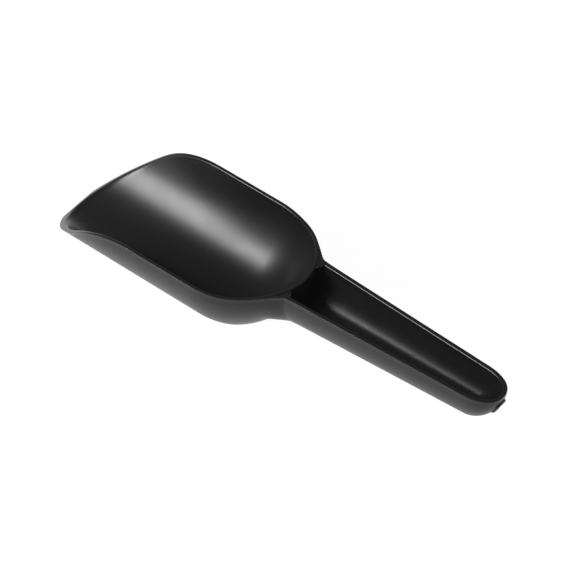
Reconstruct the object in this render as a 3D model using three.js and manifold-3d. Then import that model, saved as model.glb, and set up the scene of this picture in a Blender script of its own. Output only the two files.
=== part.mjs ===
// Hand scoop for grain and other dry goods, in millimetres.
//
// The pieces are worked out in the scoop's own coordinates: X runs from the tip of the mouth to the
// end of the handle, Y across, and Z = 0 is the plane of the rim, with the bowl below it. The group
// at the end of the file moves them so that the origin is under the middle of the scoop, on the
// surface that it rests on.

import * as THREE from "three";
import { LoftGeometry } from "three/addons/geometries/LoftGeometry.js";
import { mergeVertices } from "three/addons/utils/BufferGeometryUtils.js";
import Module from "manifold-3d";

const wasm = await Module();
wasm.setup();

// Overall sizes
const OVERALL_LENGTH = 250;
const BOWL_HALF_WIDTH = 33.8;
const BOWL_DEPTH = 40.6;
const BARREL_LENGTH = 97.9;
const CAP_LENGTH = 41.4;

// Walls, rims and the clearance between touching pieces
const BOWL_WALL = 1.8;
const BOWL_FLOOR = 3.4;
const HANDLE_WALL = 1;
const LINER_WALL = 0.8;
const RIM_HEIGHT = 2;
const CLEARANCE = 0.3;

// Mouth: a slanted cut that a large radius turns into the side rims
const MOUTH_ANGLE = THREE.MathUtils.degToRad(42.4);
const MOUTH_RADIUS = 50;

// Flat on the underside of the bowl
const FOOT_FLAT_DEPTH = 2;

// Rounded back of the bowl: powers of its superelliptic outline and floor line
const CAP_OUTLINE_POWER = 1.97;
const CAP_FLOOR_POWER = 1.78;

// Handle: tapers from its root to its tip, and has a rounded end
const HANDLE_ROOT_HALF_WIDTH = 14.6;
const HANDLE_TIP_HALF_WIDTH = 10.7;
const HANDLE_ROOT_DEPTH = 25.3;
const HANDLE_TIP_DEPTH = 20.5;
const HANDLE_END_LENGTH = 16.2;
const HANDLE_END_OUTLINE_POWER = 2.3;
const HANDLE_END_FLOOR_POWER = 1.7;
const HANDLE_SQUARENESS = 2.2;

// Blends where the handle's walls flow into the bowl's
const SIDE_BLEND = 8.1;
const UNDER_BLEND = 2;

// The handle stands higher than the bowl: its rise at its root and at its tip, and how far behind the
// barrel the rise starts, which keeps the flat foot whole
const ROOT_RISE = 3.5;
const TIP_RISE = 3.8;
const RISE_START = 10.5;

// Pocket behind the bowl, between the two webs
const WEB_START_BEFORE_BACK = 6.5;
const WEB_LENGTH = 7.4;
const POCKET_STRAIGHT_BEFORE_BACK = 1;
const POCKET_FRONT_HALF_WIDTH = 9.2;
const POCKET_REAR_HALF_WIDTH = 11.8;
const LINER_BEHIND_BACK = 1;

// The grip's liner: how far its floor stands above the handle's, and the wall that closes its front
const LINER_RAISE = 3.6;
const BULKHEAD = 1;

// Hanging eyelet in the end wall
const SLOT_WIDTH = 3.8;
const SLOT_HEIGHT = 6.4;
const EYELET_WALL = 1.5;
const EYELET_PROUD = 1.1;
const EYELET_BELOW_RIM = 1.2;

// Resolution
const SECTION_SIDES = 28;
const BARREL_STEPS = 2;
const CAP_STEPS = 12;
const TAPER_STEPS = 3;
const END_STEPS = 8;
const MOUTH_STEPS = 8;
const SLOT_STEPS = 8;

// The gap between a rounding's last section and its tip, and how far cutting bodies run past the rim
const TINY = 0.02;
const SPARE = 5;
const FAR = 400;

const RIM_PLANE = BOWL_DEPTH - FOOT_FLAT_DEPTH;
const BACK = BARREL_LENGTH + CAP_LENGTH;
const WEB_START = BACK - WEB_START_BEFORE_BACK;
const WEB_END = WEB_START + WEB_LENGTH;
const LINER_START = BACK + LINER_BEHIND_BACK;
const HANDLE_TAPER_END = OVERALL_LENGTH - HANDLE_END_LENGTH;
const CHANNEL_OFFSET = HANDLE_WALL + CLEARANCE + LINER_WALL;
const HANDLE_START = WEB_START - CAP_LENGTH / 2;

// One quadrant of a superellipse: 1 at t = 0, falling to 0 at t = 1.
function quadrant(t, power) {
  const inside = THREE.MathUtils.clamp(t, 0, 1);
  return Math.pow(1 - Math.pow(inside, power), 1 / power);
}

// The larger of two values, with a smooth hand-over where they differ by less than the blend.
function smoothMax(a, b, blend) {
  const difference = Math.abs(a - b);
  const larger = Math.max(a, b);
  return difference < blend ? larger + (blend - difference) ** 2 / (4 * blend) : larger;
}

// Half-width and depth of the bowl at x, moved inwards by sideOffset at its rim and by floorOffset
// at its floor.
function bowlSize(x, sideOffset, floorOffset) {
  const t = (x - BARREL_LENGTH) / (CAP_LENGTH - sideOffset);
  return {
    halfWidth: (BOWL_HALF_WIDTH - sideOffset) * quadrant(t, CAP_OUTLINE_POWER),
    depth: (BOWL_DEPTH - floorOffset) * quadrant(t, CAP_FLOOR_POWER),
    squareness: 2,
  };
}

// Half-width and depth of the handle at x before its end is rounded.
function handleTaper(x) {
  const t = (x - BACK) / (HANDLE_TAPER_END - BACK);
  return {
    halfWidth: THREE.MathUtils.lerp(HANDLE_ROOT_HALF_WIDTH, HANDLE_TIP_HALF_WIDTH, t),
    depth: THREE.MathUtils.lerp(HANDLE_ROOT_DEPTH, HANDLE_TIP_DEPTH, t),
  };
}

// Half-width and depth of the handle at x, moved inwards by offset, with its floor raised further by
// floorRaise and its end rounded.
function handleSize(x, offset, floorRaise) {
  const taper = handleTaper(x);
  const t = (x - HANDLE_TAPER_END) / (HANDLE_END_LENGTH - offset);
  return {
    halfWidth: (taper.halfWidth - offset) * quadrant(t, HANDLE_END_OUTLINE_POWER),
    depth: (taper.depth - offset - floorRaise) * quadrant(t, HANDLE_END_FLOOR_POWER),
    squareness: HANDLE_SQUARENESS,
  };
}

// The whole outside: the bowl flows into the handle.
function outsideSize(x) {
  const bowl = bowlSize(x, 0, 0);
  const handle = handleSize(x, 0, 0);
  if (x <= BARREL_LENGTH) {
    return bowl;
  }
  if (x >= BACK) {
    return handle;
  }
  const t = THREE.MathUtils.smoothstep(x, BACK - CAP_LENGTH / 2, BACK);
  return {
    halfWidth: smoothMax(bowl.halfWidth, handle.halfWidth, SIDE_BLEND),
    depth: smoothMax(bowl.depth, handle.depth, UNDER_BLEND),
    squareness: THREE.MathUtils.lerp(bowl.squareness, handle.squareness, t),
  };
}

// A U-shaped section at x, closed by a straight line across its top.
function section(x, size, top) {
  const points = [];
  for (let i = 0; i <= SECTION_SIDES; i += 1) {
    const angle = (Math.PI * i) / SECTION_SIDES;
    const across = -Math.cos(angle);
    const down = Math.sin(angle);
    const power = 2 / size.squareness;
    const y = size.halfWidth * Math.sign(across) * Math.pow(Math.abs(across), power);
    points.push(new THREE.Vector3(x, y, -size.depth * Math.pow(down, power)));
  }
  points[0].z = 0;
  points[SECTION_SIDES].z = 0;
  if (top > 0) {
    points.push(new THREE.Vector3(x, points[SECTION_SIDES].y, top));
    points.push(new THREE.Vector3(x, points[0].y, top));
  }
  return points;
}

// Evenly spaced stations, or stations that crowd towards the end of a rounding.
function evenStations(from, to, steps) {
  return Array.from({ length: steps }, (_, i) => from + ((to - from) * i) / steps);
}

function roundingStations(from, to, steps) {
  return Array.from({ length: steps }, (_, i) => from + (to - from) * Math.sin((Math.PI * i) / 2 / steps));
}

// A closed geometry without normals or zero-size triangles, as a solid.
function solidOf(geometry) {
  const plain = new THREE.BufferGeometry();
  plain.setAttribute("position", geometry.attributes.position);
  plain.setIndex(geometry.index);
  const merged = mergeVertices(plain, 1e-5);
  const index = merged.index.array;
  const triangles = [];
  for (let i = 0; i < index.length; i += 3) {
    const [a, b, c] = [index[i], index[i + 1], index[i + 2]];
    if (a !== b && b !== c && c !== a) {
      triangles.push(a, b, c);
    }
  }
  return new wasm.Manifold(new wasm.Mesh({
    numProp: 3,
    vertProperties: Float32Array.from(merged.attributes.position.array),
    triVerts: Uint32Array.from(triangles),
  }));
}

// A body filled up to the height top, through the sections that sizeAt gives at the stations.
function filledBody(stations, sizeAt, top) {
  const sections = stations.map((x) => section(x, sizeAt(x), top));
  return solidOf(new LoftGeometry(sections, { capStart: true, capEnd: true }));
}

function bowlBody(sideOffset, floorOffset, top) {
  const stations = [
    ...evenStations(-SPARE, BARREL_LENGTH, BARREL_STEPS),
    ...roundingStations(BARREL_LENGTH, BACK - sideOffset, CAP_STEPS),
    BACK - sideOffset - TINY,
  ];
  return filledBody(stations, (x) => bowlSize(x, sideOffset, floorOffset), top);
}

function handleBody(offset, floorRaise, top) {
  const end = OVERALL_LENGTH - offset;
  const stations = [
    ...evenStations(HANDLE_START, BACK, BARREL_STEPS),
    ...evenStations(BACK, HANDLE_TAPER_END, TAPER_STEPS),
    ...roundingStations(HANDLE_TAPER_END, end, END_STEPS),
    end - TINY,
  ];
  return filledBody(stations, (x) => handleSize(x, offset, floorRaise), top);
}

function outsideBody() {
  const stations = [
    ...evenStations(-SPARE, BARREL_LENGTH, BARREL_STEPS),
    ...roundingStations(BARREL_LENGTH, BACK, CAP_STEPS),
    ...evenStations(BACK, BACK + SIDE_BLEND, BARREL_STEPS),
    ...evenStations(BACK + SIDE_BLEND, HANDLE_TAPER_END, TAPER_STEPS),
    ...roundingStations(HANDLE_TAPER_END, OVERALL_LENGTH, END_STEPS),
    OVERALL_LENGTH - TINY,
  ];
  return filledBody(stations, outsideSize, 0);
}

// A box between two corners.
function box(low, high) {
  const size = [0, 1, 2].map((i) => high[i] - low[i]);
  const geometry = new THREE.BoxGeometry(...size);
  geometry.translate(...[0, 1, 2].map((i) => (low[i] + high[i]) / 2));
  return solidOf(geometry);
}

function slab(fromX, toX) {
  return box([fromX, -FAR, -FAR], [toX, FAR, FAR]);
}

// Where the mouth's large radius meets the rim plane. The slanted cut starts at the foot's level.
function mouthEnd() {
  return RIM_PLANE / Math.tan(MOUTH_ANGLE) + MOUTH_RADIUS * Math.tan(MOUTH_ANGLE / 2);
}

// Everything above the scoop's edge, where the edge is the mouth's slanted cut, its large radius and
// the rim plane, all moved into the material by offset.
function aboveEdge(offset) {
  const centreX = mouthEnd();
  const radius = MOUTH_RADIUS - offset;
  const startAngle = Math.PI / 2 + MOUTH_ANGLE;
  const startX = centreX + radius * Math.cos(startAngle);
  const startZ = -MOUTH_RADIUS + radius * Math.sin(startAngle);
  const outline = new THREE.Shape();
  outline.moveTo(startX - FAR * Math.cos(MOUTH_ANGLE), startZ - FAR * Math.sin(MOUTH_ANGLE));
  outline.lineTo(startX, startZ);
  outline.absarc(centreX, -MOUTH_RADIUS, radius, startAngle, Math.PI / 2, true);
  outline.lineTo(FAR, -offset);
  outline.lineTo(FAR, FAR);
  outline.lineTo(-FAR, FAR);
  const options = { depth: 2 * FAR, bevelEnabled: false, curveSegments: MOUTH_STEPS };
  const geometry = new THREE.ExtrudeGeometry(outline, options);
  geometry.rotateX(Math.PI / 2);
  geometry.translate(0, FAR, 0);
  return solidOf(geometry);
}

// A rounded slot outline across the handle's end, grown by margin, as a bar along X.
function slotBar(margin) {
  const radius = SLOT_WIDTH / 2 + margin;
  const upper = -RIM_HEIGHT - EYELET_BELOW_RIM - EYELET_WALL - SLOT_WIDTH / 2;
  const lower = upper - (SLOT_HEIGHT - SLOT_WIDTH);
  const outline = new THREE.Shape();
  outline.absarc(0, upper, radius, 0, Math.PI, false);
  outline.absarc(0, lower, radius, Math.PI, 2 * Math.PI, false);
  const options = { depth: 2 * HANDLE_END_LENGTH, bevelEnabled: false, curveSegments: SLOT_STEPS };
  const geometry = new THREE.ExtrudeGeometry(outline, options);
  geometry.rotateX(Math.PI / 2);
  geometry.rotateZ(Math.PI / 2);
  geometry.translate(OVERALL_LENGTH - HANDLE_END_LENGTH, 0, 0);
  return solidOf(geometry);
}

// The open space between the two webs, through the height of the rim.
function pocketOpening() {
  const outline = new THREE.Shape();
  outline.moveTo(WEB_START, -POCKET_FRONT_HALF_WIDTH);
  outline.lineTo(BACK - POCKET_STRAIGHT_BEFORE_BACK, -POCKET_FRONT_HALF_WIDTH);
  outline.lineTo(WEB_END, -POCKET_REAR_HALF_WIDTH);
  outline.lineTo(WEB_END + SPARE, -POCKET_REAR_HALF_WIDTH);
  outline.lineTo(WEB_END + SPARE, POCKET_REAR_HALF_WIDTH);
  outline.lineTo(WEB_END, POCKET_REAR_HALF_WIDTH);
  outline.lineTo(BACK - POCKET_STRAIGHT_BEFORE_BACK, POCKET_FRONT_HALF_WIDTH);
  outline.lineTo(WEB_START, POCKET_FRONT_HALF_WIDTH);
  const geometry = new THREE.ExtrudeGeometry(outline, { depth: 2 * SPARE, bevelEnabled: false });
  geometry.translate(0, 0, -SPARE);
  return solidOf(geometry);
}

const outside = outsideBody();
const aboveRim = aboveEdge(0);
const belowBand = aboveEdge(RIM_HEIGHT + CLEARANCE);
const rimBand = aboveEdge(RIM_HEIGHT).subtract(aboveRim);
const bowlHollow = bowlBody(BOWL_WALL, BOWL_FLOOR, SPARE);
const bowlRoom = bowlBody(-CLEARANCE, -CLEARANCE, SPARE);
const channel = handleBody(CHANNEL_OFFSET, LINER_RAISE, SPARE);

// The bowl's wall and the blended start of the handle's walls, without the hollow.
function bowlWalls() {
  const front = outside.intersect(slab(-FAR, WEB_START));
  const footCut = box([-FAR, -FAR, -FAR], [FAR, FAR, -RIM_PLANE]);
  return front.add(bowlBody(0, 0, 0)).subtract(bowlHollow).subtract(footCut);
}

function handleWalls() {
  return outside.intersect(slab(WEB_START + CLEARANCE, FAR)).subtract(bowlRoom);
}

function bowlShell() {
  return bowlWalls().subtract(belowBand);
}

function bowlRim() {
  return bowlWalls().intersect(rimBand).intersect(slab(mouthEnd() + CLEARANCE, FAR));
}

function mouthLip() {
  return bowlWalls().intersect(rimBand).intersect(slab(-FAR, mouthEnd()));
}

function handleShell() {
  const socket = handleBody(HANDLE_WALL, 0, SPARE);
  return handleWalls().subtract(socket).subtract(belowBand).subtract(slotBar(EYELET_WALL + CLEARANCE));
}

function gripLiner() {
  const sides = handleBody(HANDLE_WALL + CLEARANCE, LINER_RAISE, 0).intersect(slab(LINER_START, FAR));
  const front = handleBody(HANDLE_WALL + CLEARANCE, 0, 0).intersect(slab(LINER_START, LINER_START + BULKHEAD));
  const trough = sides.add(front).subtract(channel);
  return trough.subtract(belowBand).subtract(slotBar(EYELET_WALL + CLEARANCE));
}

function handleRim() {
  return handleWalls().intersect(rimBand).intersect(slab(WEB_END + CLEARANCE, FAR)).subtract(channel);
}

function web(side) {
  const plate = handleWalls().intersect(rimBand).intersect(slab(-FAR, WEB_END)).subtract(pocketOpening());
  const half = side > 0 ? box([-FAR, 0, -FAR], [FAR, FAR, FAR]) : box([-FAR, -FAR, -FAR], [FAR, 0, FAR]);
  return plate.intersect(half);
}

function hangingEyelet() {
  const ring = slotBar(EYELET_WALL).subtract(slotBar(0));
  const proudEnd = handleBody(-EYELET_PROUD, 0, 0).intersect(slab(-FAR, OVERALL_LENGTH));
  return ring.intersect(proudEnd).subtract(channel);
}

// Moves a point up by the handle's rise at its place along the scoop.
function raise(point) {
  const alongHandle = Math.max(0, (point[0] - BACK) / (HANDLE_TAPER_END - BACK));
  const root = ROOT_RISE * THREE.MathUtils.smoothstep(point[0], BARREL_LENGTH + RISE_START, BACK);
  point[2] += root + (TIP_RISE - ROOT_RISE) * alongHandle;
}

// A named mesh of a solid, raised where it is part of the handle.
function piece(name, solid, material) {
  const mesh = solid.warp(raise).getMesh();
  const geometry = new THREE.BufferGeometry();
  geometry.setAttribute("position", new THREE.BufferAttribute(Float32Array.from(mesh.vertProperties), 3));
  geometry.setIndex(new THREE.BufferAttribute(Uint32Array.from(mesh.triVerts), 1));
  geometry.computeVertexNormals();
  const result = new THREE.Mesh(geometry, material);
  result.name = name;
  return result;
}

function blackPlastic(name, color, roughness) {
  return new THREE.MeshStandardMaterial({ name, color, roughness, metalness: 0 });
}

const satinInside = blackPlastic("satin_inside", 0x1c1c1e, 0.42);
const outsideSkin = blackPlastic("outside_skin", 0x202022, 0.32);
const rimEdge = blackPlastic("rim_edge", 0x161618, 0.28);

const scoop = new THREE.Group();
scoop.name = "hand_scoop";
scoop.position.set(-OVERALL_LENGTH / 2, 0, RIM_PLANE);
scoop.add(
  piece("bowl_shell", bowlShell(), satinInside),
  piece("bowl_rim", bowlRim(), rimEdge),
  piece("mouth_lip", mouthLip(), rimEdge),
  piece("handle_shell", handleShell(), outsideSkin),
  piece("grip_liner", gripLiner(), satinInside),
  piece("handle_rim", handleRim(), rimEdge),
  piece("web_left", web(1), rimEdge),
  piece("web_right", web(-1), rimEdge),
  piece("hanging_eyelet", hangingEyelet(), outsideSkin),
);

export default scoop;
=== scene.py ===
"""Looks of the hand scoop: moulded black plastic skins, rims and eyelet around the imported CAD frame.

Shapes are worked out in millimetres in the scoop's own coordinates (X from the tip of the mouth to the
end of the handle, Z = 0 at the rim) and moved into the row frame, in metres, when a mesh is made.
"""

import math

import bmesh
import bpy
import numpy as np
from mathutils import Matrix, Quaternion, Vector


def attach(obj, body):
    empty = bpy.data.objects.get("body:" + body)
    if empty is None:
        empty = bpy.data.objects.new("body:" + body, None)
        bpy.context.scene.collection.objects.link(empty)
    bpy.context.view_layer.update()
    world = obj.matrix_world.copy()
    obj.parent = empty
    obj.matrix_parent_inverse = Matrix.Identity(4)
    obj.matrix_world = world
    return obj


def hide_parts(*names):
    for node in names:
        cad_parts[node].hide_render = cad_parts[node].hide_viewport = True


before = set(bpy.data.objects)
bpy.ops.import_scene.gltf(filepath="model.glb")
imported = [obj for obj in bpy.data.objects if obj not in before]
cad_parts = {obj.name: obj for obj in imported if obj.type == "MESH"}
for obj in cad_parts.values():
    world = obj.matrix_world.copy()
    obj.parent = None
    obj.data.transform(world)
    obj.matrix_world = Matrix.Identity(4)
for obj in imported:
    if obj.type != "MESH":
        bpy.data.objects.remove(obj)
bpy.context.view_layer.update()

# Sizes, the same as the CAD's
LENGTH = 250.0
BOWL_HALF_WIDTH = 33.8
BOWL_DEPTH = 40.6
BARREL_LENGTH = 97.9
CAP_LENGTH = 41.4
BOWL_WALL = 1.8
BOWL_FLOOR = 3.4
HANDLE_WALL = 1.0
CHANNEL_OFFSET = 2.1
LINER_RAISE, BULKHEAD = 3.6, 1.0
RIM_HEIGHT = 2.0
MOUTH_ANGLE = math.radians(42.4)
MOUTH_RADIUS = 50.0
RIM_PLANE = 38.6
CAP_OUTLINE_POWER = 1.97
CAP_FLOOR_POWER = 1.78
ROOT_HALF_WIDTH, TIP_HALF_WIDTH = 14.6, 10.7
ROOT_DEPTH, TIP_DEPTH = 25.3, 20.5
END_LENGTH = 16.2
END_OUTLINE_POWER = 2.3
END_FLOOR_POWER = 1.7
HANDLE_SQUARENESS = 2.2
SIDE_BLEND, UNDER_BLEND = 8.1, 2.0
ROOT_RISE, TIP_RISE, RISE_START = 3.5, 3.8, 10.5
WEB_START = 132.8
POCKET_FRONT_HALF_WIDTH = 9.2
POCKET_REAR_HALF_WIDTH = 11.8
SLOT_WIDTH, SLOT_HEIGHT, SLOT_TOP = 3.8, 6.4, 4.7
EYELET_WALL, EYELET_PROUD = 1.5, 1.1

BACK = BARREL_LENGTH + CAP_LENGTH
TAPER_END = LENGTH - END_LENGTH
LINER_BEHIND_BACK = 1.0
REAR = BACK + LINER_BEHIND_BACK
MOUTH_END = RIM_PLANE / math.tan(MOUTH_ANGLE) + MOUTH_RADIUS * math.tan(MOUTH_ANGLE / 2)
SLOT_RADIUS = SLOT_WIDTH / 2
SLOT_UPPER = -SLOT_TOP - SLOT_RADIUS
SLOT_LOWER = SLOT_UPPER - (SLOT_HEIGHT - SLOT_WIDTH)
TINY = 0.02

# Mesh density
HALF_COLUMNS = 44
BARREL_ROWS = 26
CAP_FRONT_ROWS = 22
CAP_BACK_ROWS = 14
ROOT_ROWS = 15
FINE_GRIP_LENGTH, FINE_GRIP_ROWS = 16.0, 12
GRIP_ROWS = 20
END_ROWS = 46
BISECTIONS = 50

# Roundings, gaps and the flare of the handle's root that only the looks have
EDGE_RADIUS = 0.75
OUTER_EDGE_RADIUS = 0.2
BURIED_EDGE_RADIUS = 0.04
LIP_ROUNDING = 2.0
FOOT_ROUNDING = 0.3
LINER_GAP = 0.05
FRONT_ROUNDING = 0.35
SIDE_FLARE, FLARE_LENGTH = 1.0, 16.0
SMOOTH_ANGLE = math.radians(38)

# How the columns of a surface are spread from its rim to its keel, closest at the rim
DOWN = (np.arange(HALF_COLUMNS + 1) / HALF_COLUMNS) ** 1.6


# ---------------------------------------------------------------- surfaces

def quadrant(t, power):
    return (1 - np.clip(t, 0, 1) ** power) ** (1 / power)


def smooth_max(a, b, blend):
    gap = np.abs(a - b)
    return np.maximum(a, b) + np.where(gap < blend, (blend - gap) ** 2 / (4 * blend), 0)


def smoothstep(x, low, high):
    t = np.clip((x - low) / (high - low), 0, 1)
    return t * t * (3 - 2 * t)


def bowl_size(side, floor):
    """Half-width, depth and squareness of the bowl at x, moved inwards by side and floor."""
    def size(x):
        t = (x - BARREL_LENGTH) / (CAP_LENGTH - side)
        return ((BOWL_HALF_WIDTH - side) * quadrant(t, CAP_OUTLINE_POWER),
                (BOWL_DEPTH - floor) * quadrant(t, CAP_FLOOR_POWER), 2.0 + 0 * x)
    return size


def handle_size(offset, floor_raise=0.0):
    """Half-width, depth and squareness of the handle at x, moved inwards by offset."""
    def size(x):
        t = (x - BACK) / (TAPER_END - BACK)
        end = (x - TAPER_END) / (END_LENGTH - offset)
        half_width = ROOT_HALF_WIDTH + (TIP_HALF_WIDTH - ROOT_HALF_WIDTH) * t - offset
        depth = ROOT_DEPTH + (TIP_DEPTH - ROOT_DEPTH) * t - offset - floor_raise
        return (half_width * quadrant(end, END_OUTLINE_POWER),
                depth * quadrant(end, END_FLOOR_POWER), HANDLE_SQUARENESS + 0 * x)
    return size


def outside_size(x):
    bowl = bowl_size(0, 0)(x)
    handle = handle_size(0)(x)
    flare = SIDE_FLARE * np.clip(1 - (x - WEB_START) / FLARE_LENGTH, 0, 1) ** 3
    handle = (handle[0] + flare, handle[1], handle[2])
    blended = (x > BARREL_LENGTH) & (x < BACK)
    half_width = np.where(blended, smooth_max(bowl[0], handle[0], SIDE_BLEND), bowl[0])
    depth = np.where(blended, smooth_max(bowl[1], handle[1], UNDER_BLEND), bowl[1])
    square = 2 + (HANDLE_SQUARENESS - 2) * smoothstep(x, BACK - CAP_LENGTH / 2, BACK)
    behind = x >= BACK
    return (np.where(behind, handle[0], half_width), np.where(behind, handle[1], depth), square)


def at_angle(size, x, angle, footed=False):
    """Point of the surface at x and at an angle down from its rim, on the +Y side."""
    half_width, depth, square = size(x)
    y = half_width * np.abs(np.cos(angle)) ** (2 / square)
    z = -depth * np.abs(np.sin(angle)) ** (2 / square)
    if footed:
        z = smooth_max(z, -RIM_PLANE + 0 * z, FOOT_ROUNDING)
    return np.stack([x + 0 * y, y, z], -1)


def angle_at_depth(size, x, depth):
    _, full, square = size(x)
    return np.arcsin(np.clip(depth / np.maximum(full, depth), 0, 1) ** (square / 2))


def surface(size, x, footed=False):
    """Grid through rows of stations. x has one row per station and one column per half column."""
    top = angle_at_depth(size, x, RIM_HEIGHT)
    half = at_angle(size, x, top + (math.pi / 2 - top) * DOWN, footed)
    half[..., -1, 1] = 0
    other = half[:, -2::-1] * np.array([1, -1, 1])
    return np.concatenate([half, other], 1)


def columns(stations):
    return np.repeat(np.asarray(stations, float)[:, None], HALF_COLUMNS + 1, 1)


def end_of(size, low, high):
    """Where a closed end has become as shallow as the rim's band."""
    for _ in range(BISECTIONS):
        middle = (low + high) / 2
        if size(np.array(middle))[1] > RIM_HEIGHT:
            low = middle
        else:
            high = middle
    return low


# ---------------------------------------------------------------- mouth

def cut_x(z, offset):
    """X of the scoop's edge at height z, with the edge moved into the material by offset."""
    radius = MOUTH_RADIUS - offset
    turn = math.pi / 2 + MOUTH_ANGLE
    tangent_x = MOUTH_END + radius * math.cos(turn)
    tangent_z = -MOUTH_RADIUS + radius * math.sin(turn)
    arc = MOUTH_END - np.sqrt(np.maximum(radius ** 2 - (z + MOUTH_RADIUS) ** 2, 0))
    line = tangent_x + (z - tangent_z) / math.tan(MOUTH_ANGLE)
    return np.where(z > tangent_z, arc, line)


def above_edge(x, z):
    """Height above the edge, square to it, and the direction of that height."""
    dx, dz = x - MOUTH_END, z + MOUTH_RADIUS
    turn = np.mod(np.arctan2(dz, dx), 2 * math.pi)
    radius = np.hypot(dx, dz)
    on_line = turn > math.pi / 2 + MOUTH_ANGLE
    line = -x * math.sin(MOUTH_ANGLE) + (z + RIM_PLANE) * math.cos(MOUTH_ANGLE)
    height = np.where(on_line, line, radius - MOUTH_RADIUS)
    direction = np.stack([np.where(on_line, -math.sin(MOUTH_ANGLE), dx / radius),
                          np.where(on_line, math.cos(MOUTH_ANGLE), dz / radius)], -1)
    return height, direction


def barrel_columns(size, footed):
    """Stations of the barrel, from the slanted mouth to where the bowl starts to round off."""
    barrel = surface(size, columns([BARREL_LENGTH / 2]), footed)[0, :HALF_COLUMNS + 1]
    front = cut_x(barrel[:, 2], RIM_HEIGHT)
    share = (np.arange(BARREL_ROWS + 1) / BARREL_ROWS)[:, None]
    return front + (BARREL_LENGTH - front) * share


def lip_edge(size, footed):
    """The mouth's edge, square across the surface from each column's front end."""
    angle = np.linspace(0, math.pi / 2, 1500)
    wall = at_angle(size, np.full(angle.shape, BARREL_LENGTH / 2), angle, footed)
    run = np.concatenate([[0], np.cumsum(np.hypot(np.diff(wall[:, 1]), np.diff(wall[:, 2])))])
    slope = np.gradient(wall[:, 2], run)
    top = angle_at_depth(size, np.array(BARREL_LENGTH / 2), RIM_HEIGHT)
    u = np.interp(top + (math.pi / 2 - top) * DOWN, angle, run)
    x = cut_x(np.interp(u, run, wall[:, 2]), RIM_HEIGHT)
    for _ in range(8):
        height, direction = above_edge(x, np.interp(u, run, wall[:, 2]))
        along = direction[:, 1] * np.interp(u, run, slope)
        square = direction[:, 0] ** 2 + along ** 2
        x = x - height * direction[:, 0] / square
        u = np.clip(u - height * along / square, 0, run[-1])
    half = np.stack([x, np.interp(u, run, wall[:, 1]), np.interp(u, run, wall[:, 2])], -1)
    half[0] = (MOUTH_END, wall[0, 1], 0)
    half[-1, 1] = 0
    return np.concatenate([half, half[-2::-1] * np.array([1, -1, 1])])


# ---------------------------------------------------------------- meshes

class Mesh:
    """Collects faces, each with the number of its finish, with the points of touching patches joined."""

    def __init__(self):
        self.points, self.faces, self.tones, self.found = [], [], [], {}

    def point(self, p):
        key = (round(float(p[0]), 4), round(float(p[1]), 4), round(float(p[2]), 4))
        if key not in self.found:
            self.found[key] = len(self.points)
            self.points.append(key)
        return self.found[key]

    def indices(self, grid):
        return [[self.point(p) for p in row] for row in grid]

    def face(self, loop, tone=0):
        kept = [v for i, v in enumerate(loop) if v != loop[i - 1]]
        if len(set(kept)) == len(kept) >= 3:
            self.faces.append(kept)
            self.tones.append(tone)

    def patch(self, grid, skip=None, close=False, tone=0):
        index = self.indices(grid)
        rows, cols = len(index), len(index[0])
        for i in range(rows - 1):
            for j in range(cols if close else cols - 1):
                if skip is not None and skip[i, j]:
                    continue
                k = (j + 1) % cols
                self.face([index[i][j], index[i][k], index[i + 1][k], index[i + 1][j]], tone)

    def cap(self, loop):
        self.face([self.point(p) for p in loop])

    def turned_outwards(self):
        """The faces, all wound so that they look out of the closed mesh."""
        data = bmesh.new()
        corners = [data.verts.new(p) for p in self.points]
        for face in self.faces:
            data.faces.new([corners[v] for v in face])
        bmesh.ops.recalc_face_normals(data, faces=data.faces)
        data.verts.index_update()
        faces = [[v.index for v in face.verts] for face in data.faces]
        data.free()
        return faces


def bridge(mesh, outer, inner, skip):
    """Joins the edges of a hole that is left out of two grids alike."""
    rows, cols = skip.shape
    for i in range(rows):
        for j in range(cols):
            if not skip[i, j]:
                continue
            for di, dj, a, b in ((0, -1, (0, 0), (1, 0)), (0, 1, (1, 1), (0, 1)),
                                 (-1, 0, (0, 1), (0, 0)), (1, 0, (1, 0), (1, 1))):
                if skip[i + di, j + dj]:
                    continue
                p, q = (i + a[0], j + a[1]), (i + b[0], j + b[1])
                mesh.face([mesh.point(outer[p]), mesh.point(outer[q]),
                           mesh.point(inner[q]), mesh.point(inner[p])])


def rounded(corner, before, after, radius, steps=4):
    """Points of a rounding at a corner between two neighbours."""
    to_before, to_after = before - corner, after - corner
    length_before = np.linalg.norm(to_before, axis=-1, keepdims=True)
    length_after = np.linalg.norm(to_after, axis=-1, keepdims=True)
    reach = np.minimum(radius, 0.46 * np.minimum(length_before, length_after))
    start = corner + to_before / np.maximum(length_before, 1e-9) * reach
    stop = corner + to_after / np.maximum(length_after, 1e-9) * reach
    shares = np.linspace(0, 1, steps + 1)
    return [(1 - s) ** 2 * start + 2 * s * (1 - s) * corner + s * s * stop for s in shares]


def bead(low_out, top_out, top_in, low_in, radius_out=OUTER_EDGE_RADIUS, radius_in=EDGE_RADIUS):
    """Closed cross-sections of a rim with rounded edges, one for each row of its four corner lines."""
    land_out = top_out + 0.5 * (top_in - top_out)
    points = [low_out]
    points += rounded(top_out, low_out, top_in, radius_out)
    points += [land_out]
    points += rounded(top_in, top_out, low_in, radius_in)
    points += [low_in]
    return np.stack(points, 1)


pieces = []


def collect(name, mesh, node, finishes, slot):
    mesh.faces = mesh.turned_outwards()
    pieces.append({"name": name, "mesh": mesh, "node": node, "finishes": finishes, "slot": slot})


def shell(outer, inner, skip=None):
    """A wall between two grids with the same rows and columns, joined along their edges."""
    mesh = Mesh()
    mesh.patch(outer, skip=skip, tone=1)
    mesh.patch(inner, skip=skip)
    mesh.patch(np.stack([outer[:, 0], inner[:, 0]], 1))
    mesh.patch(np.stack([outer[:, -1], inner[:, -1]], 1))
    mesh.patch(np.stack([outer[0], inner[0]], 1))
    if skip is not None:
        bridge(mesh, outer, inner, skip)
    return mesh


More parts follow.
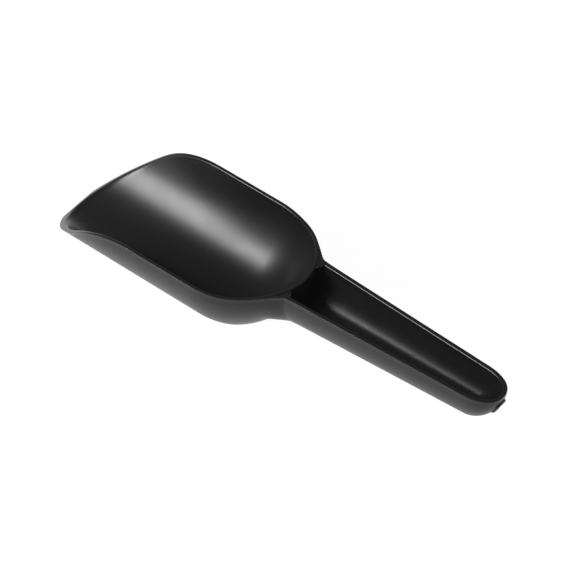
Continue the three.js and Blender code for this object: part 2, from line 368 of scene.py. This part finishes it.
# ---------------------------------------------------------------- bowl

inside = bowl_size(BOWL_WALL, BOWL_FLOOR)
body = bowl_size(0, 0)
web_turn = math.asin(((WEB_START - BARREL_LENGTH) / CAP_LENGTH) ** (CAP_OUTLINE_POWER / 2))
turns_front = np.linspace(0, web_turn, CAP_FRONT_ROWS + 1)[1:]
turns_back = np.linspace(web_turn, math.pi / 2, CAP_BACK_ROWS + 1)
turns = np.concatenate([turns_front, turns_back])
reach = np.sin(turns) ** (2 / CAP_OUTLINE_POWER)

inside_end = end_of(inside, BARREL_LENGTH, BACK - BOWL_WALL)
inside_rows = np.concatenate([
    barrel_columns(inside, False),
    columns(BARREL_LENGTH + (inside_end - BARREL_LENGTH) * reach),
])
inside_grid = surface(inside, inside_rows)

front_x = BARREL_LENGTH + CAP_LENGTH * reach[:CAP_FRONT_ROWS]
body_end = end_of(body, BARREL_LENGTH, BACK)
back_top_x = BARREL_LENGTH + CAP_LENGTH * reach[CAP_FRONT_ROWS:]
back_x = WEB_START + (body_end - WEB_START) * (back_top_x - WEB_START) / (BACK - WEB_START)
outside_grid = np.concatenate([
    surface(outside_size, np.concatenate([barrel_columns(outside_size, True), columns(front_x)]), True),
    surface(body, columns(back_x)),
])
inside_grid[-1] = inside_grid[-1, HALF_COLUMNS]
outside_grid[-1] = outside_grid[-1, HALF_COLUMNS]


def edge_line(size, x):
    """The +Y side's outline at the rim plane."""
    return np.stack([x, size(x)[0], 0 * x], -1)


def other_side(line):
    return line * np.array([1, -1, 1])


barrel_x = np.linspace(MOUTH_END, BARREL_LENGTH, BARREL_ROWS + 1)
outer_top = np.concatenate([edge_line(outside_size, np.concatenate([barrel_x, front_x])),
                            edge_line(body, back_top_x)])
inner_top = edge_line(inside, np.concatenate([
    barrel_x, BARREL_LENGTH + (CAP_LENGTH - BOWL_WALL) * reach]))
outer_top[-1] = (BACK - TINY, 0, 0)
inner_top[-1] = (BACK - BOWL_WALL, 0, 0)

free_radius = np.full((len(outer_top), 1), OUTER_EDGE_RADIUS)
behind_web = np.arange(len(outer_top)) >= BARREL_ROWS + 1 + CAP_FRONT_ROWS
ramp = smoothstep(outer_top[:, 0], WEB_START, WEB_START + 2.5)[:, None]
free_radius = np.where(behind_web[:, None], BURIED_EDGE_RADIUS + 0.5 * ramp, free_radius)


def rim_ring(low_out, top_out, top_in, low_in, radius_out):
    """A rim's two sides, which meet at its back end."""
    right = bead(low_out[0], top_out, top_in, low_in[0], radius_out)
    left = bead(low_out[1], other_side(top_out), other_side(top_in), low_in[1], radius_out)
    ring = np.concatenate([right, left[-2::-1]])
    mesh = Mesh()
    mesh.patch(ring, close=True)
    mesh.cap(ring[0])
    mesh.cap(ring[-1])
    return mesh


collect("moulded_bowl", shell(outside_grid, inside_grid), "bowl_shell", ("satin", "skin"), "satin_inside")

bowl_bead = rim_ring((outside_grid[:, 0], outside_grid[:, -1]), outer_top, inner_top,
                     (inside_grid[:, 0], inside_grid[:, -1]), free_radius)
collect("bowl_rim_bead", bowl_bead, "bowl_rim", ("rim",), "rim_edge")

lip = bead(outside_grid[0], lip_edge(outside_size, True), lip_edge(inside, False), inside_grid[0],
           radius_in=LIP_ROUNDING)
lip_mesh = Mesh()
lip_mesh.patch(lip, close=True)
lip_mesh.cap(lip[0])
lip_mesh.cap(lip[-1])
collect("pouring_lip", lip_mesh, "mouth_lip", ("rim",), "rim_edge")


# ---------------------------------------------------------------- handle

end_turns = np.linspace(0, math.pi / 2, END_ROWS + 1)[1:]
root_x = np.linspace(WEB_START, REAR, ROOT_ROWS + 1)
fine_end = REAR + FINE_GRIP_LENGTH
grip_x = np.concatenate([np.linspace(REAR, fine_end, FINE_GRIP_ROWS + 1)[1:],
                         np.linspace(fine_end, TAPER_END, GRIP_ROWS + 1)[1:]])


def end_stations(size, offset):
    stop = end_of(size, TAPER_END, LENGTH - offset - TINY)
    return TAPER_END + (stop - TAPER_END) * np.sin(end_turns)


def handle_grid(size, offset, front):
    grid = surface(size, np.concatenate([front, columns(grip_x), columns(end_stations(size, offset))]))
    grid[-1] = grid[-1, HALF_COLUMNS]
    return grid


def pocket_front(size):
    """Where the handle's inner surface runs into the bowl's back wall, one X per column."""
    wall = bowl_size(BOWL_WALL / 2, BOWL_FLOOR / 2)
    low, high = np.full(DOWN.shape, BARREL_LENGTH), np.full(DOWN.shape, BACK)
    for _ in range(BISECTIONS):
        x = (low + high) / 2
        top = angle_at_depth(size, x, RIM_HEIGHT)
        p = at_angle(size, x, top + (math.pi / 2 - top) * DOWN)
        half_width, depth, _ = wall(x)
        across = p[:, 1] / np.maximum(half_width, 1e-6)
        down = p[:, 2] / np.maximum(depth, 1e-6)
        outside = across ** 2 + down ** 2 > 1
        high = np.where(outside, x, high)
        low = np.where(outside, low, x)
    return high


def slot_distance(y, z):
    """Distance from the eyelet slot's centre line."""
    return np.hypot(y, z - np.clip(z, SLOT_LOWER, SLOT_UPPER))


def slot_cells(outer, inner):
    """Cells of two matching grids that are left out for the eyelet."""
    middle = (outer + inner) / 2
    centre = (middle[:-1, :-1] + middle[1:, 1:] + middle[:-1, 1:] + middle[1:, :-1]) / 4
    near = slot_distance(centre[..., 1], centre[..., 2]) < SLOT_RADIUS + EYELET_WALL / 2
    return near & (centre[..., 0] > TAPER_END)


inner_size = handle_size(HANDLE_WALL)
pocket_start = pocket_front(inner_size)
root_share = ((root_x - WEB_START) / (REAR - WEB_START))[:, None]
outer_grid = handle_grid(outside_size, 0, columns(root_x))
inner_grid = handle_grid(inner_size, HANDLE_WALL, pocket_start + (REAR - pocket_start) * root_share)
collect("grip_skin", shell(outer_grid, inner_grid, slot_cells(outer_grid, inner_grid)),
        "handle_shell", ("skin", "skin"), "outside_skin")

# The liner's first rows are its front wall, which reaches down to the shell. Behind it the floor is higher.
bulkhead_size = handle_size(HANDLE_WALL + LINER_GAP)
liner_outer_size = handle_size(HANDLE_WALL + LINER_GAP, LINER_RAISE)
channel_size = handle_size(CHANNEL_OFFSET, LINER_RAISE)
bulkhead_rows = columns([REAR, REAR + BULKHEAD])
liner_front = np.concatenate([bulkhead_rows, bulkhead_rows[-1:]])
liner_outer = handle_grid(liner_outer_size, HANDLE_WALL + LINER_GAP, liner_front)
liner_outer[:2] = surface(bulkhead_size, bulkhead_rows)
channel = handle_grid(channel_size, CHANNEL_OFFSET, liner_front)
liner = Mesh()
liner_skip = slot_cells(liner_outer, channel)
liner.patch(liner_outer, skip=liner_skip)
liner.patch(channel, skip=liner_skip)
liner.patch(np.stack([liner_outer[:, 0], channel[:, 0]], 1))
liner.patch(np.stack([liner_outer[:, -1], channel[:, -1]], 1))
ahead = np.array([-FRONT_ROUNDING, 0, 0])
nose = [liner_outer[0] + t * (channel[0] - liner_outer[0]) + h * ahead
        for t, h in ((0, 0), (0.02, 0.55), (0.25, 0.95), (0.5, 1.0), (0.75, 0.85), (0.93, 0.5), (1, 0))]
liner.patch(np.stack(nose, 1))
liner.cap([n[0] for n in nose])
liner.cap([n[-1] for n in nose])
bridge(liner, liner_outer, channel, liner_skip)
collect("channel_liner", liner, "grip_liner", ("satin",), "satin_inside")

rim_x = np.concatenate([[REAR], grip_x])
outer_end = TAPER_END + (END_LENGTH - TINY) * np.sin(end_turns)
inner_end = TAPER_END + (END_LENGTH - CHANNEL_OFFSET) * np.sin(end_turns)
handle_top_out = edge_line(outside_size, np.concatenate([rim_x, outer_end]))
handle_top_in = edge_line(channel_size, np.concatenate([rim_x, inner_end]))
handle_top_out[-1, 1] = 0
handle_top_in[-1, 1] = 0
rim_rows = slice(ROOT_ROWS, None)
rim_channel = np.r_[0, len(liner_front):len(channel)]
grip_bead = rim_ring((outer_grid[rim_rows, 0], outer_grid[rim_rows, -1]), handle_top_out, handle_top_in,
                     (channel[rim_channel, 0], channel[rim_channel, -1]), OUTER_EDGE_RADIUS)
collect("grip_rim_bead", grip_bead, "handle_rim", ("rim",), "rim_edge")


# ---------------------------------------------------------------- webs beside the pocket

PLATE_DROP = 0.3
PLATE_EDGE_RADIUS = 0.45
BEAD_WIDTH = 1.2
BEAD_STEP = 0.45
BOWL_OVERLAP = 0.25
REAR_INSET = 0.4


def web_mesh(side):
    """A web: a flat plate, set a little below the raised bead that runs along its outer edge."""
    rows = []
    edge_in = handle_top_in[0, 1]
    for i, x in enumerate(root_x):
        low = outer_grid[i, 0]
        outer_y = float(outside_size(np.array([x]))[0][0])
        opening = np.interp(x, [BACK - 1, BACK + 0.4, REAR],
                            [POCKET_FRONT_HALF_WIDTH, POCKET_REAR_HALF_WIDTH - REAR_INSET, edge_in])
        bowl_y = float(body(np.array([x]))[0][0]) - BOWL_OVERLAP
        inner_y = max(bowl_y, opening)
        width = outer_y - inner_y
        drop = PLATE_DROP * float(smoothstep(width, BEAD_WIDTH + 0.3, BEAD_WIDTH + 1.6))
        drop *= 1 - float(smoothstep(x, REAR - 1.2, REAR))
        bead_y = max(outer_y - BEAD_WIDTH, inner_y + 0.4 * width)
        step_y = max(bead_y - BEAD_STEP, inner_y + 0.3 * width)
        top = np.array([x, outer_y, 0.0])
        bead_in = np.array([x, bead_y, 0.0])
        step_in = np.array([x, step_y, -drop])
        edge = np.array([x, inner_y, -drop])
        bottom = np.array([x, inner_y, -RIM_HEIGHT])
        line = [low] + rounded(top, low, bead_in, OUTER_EDGE_RADIUS) + [bead_in]
        line += [(bead_in + step_in) / 2, step_in, (step_in + edge) / 2]
        line += rounded(edge, step_in, bottom, PLATE_EDGE_RADIUS, 3) + [bottom]
        rows.append(np.array(line))
    grid = np.array(rows)
    if side < 0:
        grid = other_side(grid)
    mesh = Mesh()
    mesh.patch(grid, close=True)
    mesh.cap(grid[0])
    mesh.cap(grid[-1])
    return mesh


collect("web_plate_left", web_mesh(1), "web_left", ("rim",), "rim_edge")
collect("web_plate_right", web_mesh(-1), "web_right", ("rim",), "rim_edge")


# ---------------------------------------------------------------- hanging eyelet

def end_x(size, y, z):
    """X of a closed end at a place across it."""
    low, high = np.full(y.shape, TAPER_END - 4), np.full(y.shape, LENGTH)
    for _ in range(BISECTIONS):
        x = (low + high) / 2
        half_width, depth, square = size(x)
        outside = ((np.abs(y) / np.maximum(half_width, 1e-6)) ** square
                   + (np.abs(z) / np.maximum(depth, 1e-6)) ** square) > 1
        high = np.where(outside, x, high)
        low = np.where(outside, low, x)
    return low


def slot_outline(margin, steps=18):
    """The slot's outline across the handle's end, grown by margin."""
    turns = np.linspace(0, math.pi, steps + 1)
    radius = SLOT_RADIUS + margin
    y = np.concatenate([radius * np.cos(turns), -radius * np.cos(turns)])
    z = np.concatenate([SLOT_UPPER + radius * np.sin(turns), SLOT_LOWER - radius * np.sin(turns)])
    return y, z


TIP_ROUNDING = 0.5

# The collar's profile: how far outside the slot, on which surface, and how far out from that surface
collar = ((1.5, "in", 0.05), (0.35, "in", 0.0), (0.08, "in", 0.12), (0.0, "in", 0.5),
          (0.0, "mid", 0.0), (0.0, "out", 0.35), (0.1, "out", 0.7), (0.35, "out", 1.0),
          (0.7, "out", 1.1), (1.05, "out", 0.95), (1.35, "out", 0.6), (1.5, "out", 0.2), (1.5, "out", -0.15))
eyelet_rows = []
for margin, side, lift in collar:
    y, z = slot_outline(margin)
    x_out, x_in = end_x(outside_size, y, z), end_x(channel_size, y, z)
    base = {"in": x_in, "out": x_out, "mid": (x_in + x_out) / 2}[side]
    x = base + lift
    if side == "out":
        x = -smooth_max(-x, np.full(y.shape, TINY - LENGTH), TIP_ROUNDING)
    eyelet_rows.append(np.stack([np.minimum(x, LENGTH - TINY), y, z], -1))
eyelet = Mesh()
eyelet_grid = np.array(eyelet_rows + eyelet_rows[:1])
eyelet.patch(eyelet_grid, close=True)
collect("eyelet_collar", eyelet, "hanging_eyelet", ("skin",), "outside_skin")


# ---------------------------------------------------------------- materials

PLASTIC_IOR = 1.5

# A faint even painted glow: white emission on all the plastic, which lifts deep shade so that it is not
# quite black
PAINTED_GLOW_STRENGTH = 0.0028


def plastic(name, color, roughness, specular, grain, wear):
    """Moulded black plastic: fine grain, faint flow marks, hairline handling scratches, and a faint painted
    glow that lifts its deep shade.
    """
    material = bpy.data.materials.new(name)
    material.use_nodes = True
    nodes, links = material.node_tree.nodes, material.node_tree.links
    shader = nodes["Principled BSDF"]
    shader.inputs["IOR"].default_value = PLASTIC_IOR
    shader.inputs["Specular IOR Level"].default_value = specular
    # Painted glow: a faint even white emission that lifts the plastic's deep shade off black
    shader.inputs["Emission Color"].default_value = (1, 1, 1, 1)
    shader.inputs["Emission Strength"].default_value = PAINTED_GLOW_STRENGTH
    place = nodes.new("ShaderNodeTexCoord").outputs["Object"]

    def noise(scale, detail, stretch=(1, 1, 1)):
        mapping = nodes.new("ShaderNodeMapping")
        mapping.inputs["Scale"].default_value = stretch
        links.new(place, mapping.inputs["Vector"])
        texture = nodes.new("ShaderNodeTexNoise")
        texture.inputs["Scale"].default_value = scale
        texture.inputs["Detail"].default_value = detail
        links.new(mapping.outputs["Vector"], texture.inputs["Vector"])
        return texture.outputs["Fac"]

    def spread(value, low, high, from_low=0.3, from_high=0.7):
        ramp = nodes.new("ShaderNodeMapRange")
        limits = {"From Min": from_low, "From Max": from_high, "To Min": low, "To Max": high}
        for socket, number in limits.items():
            ramp.inputs[socket].default_value = number
        links.new(value, ramp.inputs["Value"])
        return ramp.outputs["Result"]

    def math_node(operation, a, b):
        node = nodes.new("ShaderNodeMath")
        node.operation = operation
        for socket, value in zip(node.inputs, (a, b)):
            if isinstance(value, (int, float)):
                socket.default_value = value
            else:
                links.new(value, socket)
        return node.outputs[0]

    flow = noise(16, 3, (0.5, 1, 1))
    cloud = noise(60, 4)
    fine = noise(1900, 2)
    scratch = noise(420, 3, (0.06, 1.2, 1.2))
    lines = spread(scratch, 0, 1, 0.66, 0.74)

    mix = nodes.new("ShaderNodeMix")
    mix.data_type = "RGBA"
    mix.inputs["A"].default_value = (*[c * 0.86 for c in color], 1)
    mix.inputs["B"].default_value = (*[c * 1.14 for c in color], 1)
    links.new(spread(flow, 0, 1), mix.inputs["Factor"])
    links.new(mix.outputs["Result"], shader.inputs["Base Color"])

    rough = math_node("ADD", spread(cloud, roughness - 0.02, roughness + 0.02), spread(flow, -0.012, 0.012))
    rough = math_node("ADD", rough, math_node("MULTIPLY", lines, wear))
    links.new(rough, shader.inputs["Roughness"])

    bump = nodes.new("ShaderNodeBump")
    bump.inputs["Strength"].default_value = 1.0
    bump.inputs["Distance"].default_value = grain
    links.new(fine, bump.inputs["Height"])
    links.new(bump.outputs["Normal"], shader.inputs["Normal"])
    return material


materials = {
    "satin": plastic("black_satin_plastic", (0.0042, 0.0042, 0.0045), 0.36, 0.42, 0.000012, 0.03),
    "skin": plastic("black_outside_plastic", (0.0042, 0.0042, 0.0046), 0.36, 0.25, 0.000012, 0.03),
    "rim": plastic("black_rim_plastic", (0.0040, 0.0040, 0.0043), 0.30, 0.38, 0.000008, 0.04),
}


# ---------------------------------------------------------------- objects

def corner_normals(meshes):
    """Normals for every face corner, averaged over all the pieces that meet there smoothly."""
    keys, units, weighted, counts = [], [], [], []
    table = {}
    for mesh in meshes:
        for face in mesh.faces:
            loop = mesh.points[face]
            normal = np.zeros(3)
            for i in range(1, len(face) - 1):
                normal += np.cross(loop[i] - loop[0], loop[i + 1] - loop[0])
            size = np.linalg.norm(normal)
            unit = normal / max(size, 1e-12)
            for i, v in enumerate(face):
                a, b = loop[i - 1] - loop[i], loop[(i + 1) % len(face)] - loop[i]
                turn = math.acos(max(-1.0, min(1.0, float(a @ b) / max(
                    float(np.linalg.norm(a) * np.linalg.norm(b)), 1e-12))))
                key = mesh.keys[v]
                keys.append(table.setdefault(key, len(table)))
                units.append(unit)
                weighted.append(unit * turn)
        counts.append(sum(len(face) for face in mesh.faces))
    keys, units, weighted = np.array(keys), np.array(units), np.array(weighted)
    order = np.argsort(keys, kind="stable")
    result = np.zeros_like(units)
    starts = np.flatnonzero(np.r_[True, np.diff(keys[order]) > 0])
    sizes = np.diff(np.r_[starts, len(order)])
    for size in np.unique(sizes):
        rows = order[starts[sizes == size][:, None] + np.arange(size)]
        unit = units[rows]
        near = np.einsum("gik,gjk->gij", unit, unit) > math.cos(SMOOTH_ANGLE)
        total = np.einsum("gij,gjk->gik", near.astype(float), weighted[rows])
        result[rows] = total / np.maximum(np.linalg.norm(total, axis=-1, keepdims=True), 1e-9)
    return np.split(result, np.cumsum(counts)[:-1])


def raised(points):
    """Points moved up by the handle's rise at their place along the scoop."""
    x = points[:, 0]
    rise = ROOT_RISE * smoothstep(x, BARREL_LENGTH + RISE_START, BACK)
    rise = rise + (TIP_RISE - ROOT_RISE) * np.maximum(0, (x - BACK) / (TAPER_END - BACK))
    return points + np.stack([0 * x, 0 * x, rise], -1)


def to_row_frame(points):
    """Points of the scoop's own coordinates, in millimetres, as metres in the row frame."""
    return (points + np.array([-LENGTH / 2, 0, RIM_PLANE])) / 1000


for piece in pieces:
    piece["mesh"].keys = piece["mesh"].points
    piece["mesh"].points = raised(np.array(piece["mesh"].points))

for piece, normals in zip(pieces, corner_normals([p["mesh"] for p in pieces])):
    data = bpy.data.meshes.new(piece["name"])
    data.from_pydata(to_row_frame(piece["mesh"].points).tolist(), [], piece["mesh"].faces)
    data.polygons.foreach_set("use_smooth", [True] * len(data.polygons))
    data.normals_split_custom_set(normals.tolist())
    for finish in piece["finishes"]:
        data.materials.append(materials[finish])
    data.polygons.foreach_set("material_index", piece["mesh"].tones)
    obj = bpy.data.objects.new(piece["name"], data)
    bpy.context.scene.collection.objects.link(obj)
    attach(obj, "root")
    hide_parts(piece["node"])


# ---------------------------------------------------------------- floor, light and camera

FLOOR_SIZE = 14.0
floor_mesh = bpy.data.meshes.new("floor")
half_floor = FLOOR_SIZE / 2
floor_mesh.from_pydata([(-half_floor, -half_floor, 0), (half_floor, -half_floor, 0),
                        (half_floor, half_floor, 0), (-half_floor, half_floor, 0)], [], [(0, 1, 2, 3)])
floor = bpy.data.objects.new("floor", floor_mesh)
bpy.context.scene.collection.objects.link(floor)
floor_material = bpy.data.materials.new("pale_floor")
floor_material.use_nodes = True
floor_shader = floor_material.node_tree.nodes["Principled BSDF"]
floor_shader.inputs["Base Color"].default_value = (0.12, 0.12, 0.12, 1)
floor_shader.inputs["Roughness"].default_value = 0.9
floor_shader.inputs["Specular IOR Level"].default_value = 0.1
floor_shader.inputs["Emission Color"].default_value = (1, 1, 1, 1)
floor_shader.inputs["Emission Strength"].default_value = 0.96
floor_mesh.materials.append(floor_material)


def softbox(name, direction, distance, width, height, power, target=(0.0, 0.0, 0.02)):
    light = bpy.data.lights.new(name, "AREA")
    light.shape = "RECTANGLE"
    light.size, light.size_y = width, height
    light.energy = power
    lamp = bpy.data.objects.new(name, light)
    bpy.context.scene.collection.objects.link(lamp)
    toward = Vector(direction).normalized()
    lamp.location = Vector(target) + toward * distance
    lamp.rotation_mode = "QUATERNION"
    lamp.rotation_quaternion = toward.to_track_quat("Z", "Y")
    return lamp


softbox("key_softbox", direction=(-0.44, -0.77, 0.465), distance=1.6, width=0.55, height=0.9, power=39)

world = bpy.data.worlds.new("studio")
world.use_nodes = True
background = world.node_tree.nodes["Background"]
background.inputs["Color"].default_value = (1, 1, 1, 1)
background.inputs["Strength"].default_value = 0.25
bpy.context.scene.world = world

CAMERA_DISTANCE = 1.5308
CAMERA_ROLL = math.radians(0.26)
FOCAL_PIXELS = 3354
IMAGE_PIXELS = 576
SENSOR = 36.0
camera_data = bpy.data.cameras.new("camera")
camera_data.sensor_width = SENSOR
camera_data.lens = FOCAL_PIXELS / IMAGE_PIXELS * SENSOR
camera = bpy.data.objects.new("camera", camera_data)
bpy.context.scene.collection.objects.link(camera)
aim = Vector((0.0039, 0, 0.02951))
back = Vector((0.41676, -0.52397, 0.74282)).normalized()
camera.location = aim + back * CAMERA_DISTANCE
camera.rotation_mode = "QUATERNION"
camera.rotation_quaternion = (-back).to_track_quat("-Z", "Y") @ Quaternion((0, 0, 1), CAMERA_ROLL)
bpy.context.scene.camera = camera
bpy.context.scene.view_settings.view_transform = "Standard"
